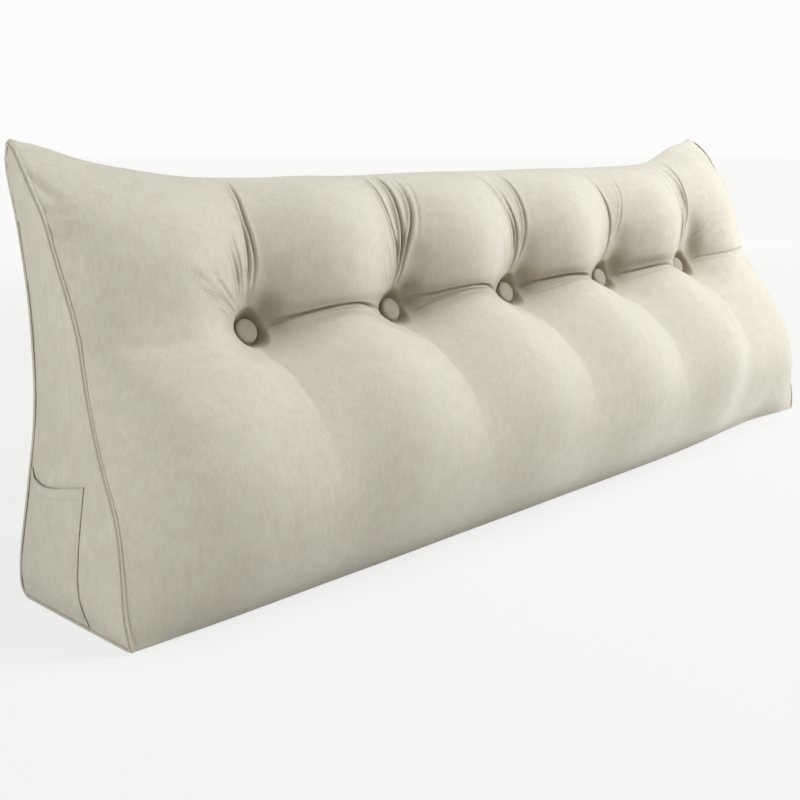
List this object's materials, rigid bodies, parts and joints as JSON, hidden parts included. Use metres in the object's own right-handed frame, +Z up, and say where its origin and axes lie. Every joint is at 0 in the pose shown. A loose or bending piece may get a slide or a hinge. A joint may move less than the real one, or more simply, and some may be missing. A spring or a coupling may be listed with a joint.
{
  "type": "wedge backrest pillow",
  "caption": "Long stuffed wedge bolster in button-tufted cream velvet with a side pocket, to lean against in bed or on a daybed.",
  "frame": {"origin": "middle of the bounding box at floor level, on the flat base", "axes": "+X along the length towards the plain end, the pocket is at -X; the tufted front faces -Y; +Z up"},
  "size_m": [1.4867, 0.304, 0.503],
  "materials": {
    "velvet": "short-pile cream velvet with a soft mottled nap",
    "button_velvet": "the same velvet stretched over button shells"
  },
  "bodies": {
    "root": {"cushion": "velvet", "button_1": "button_velvet", "button_2": "button_velvet", "button_3": "button_velvet", "button_4": "button_velvet", "button_5": "button_velvet", "side_pocket": "velvet"}
  },
  "joints": []
}
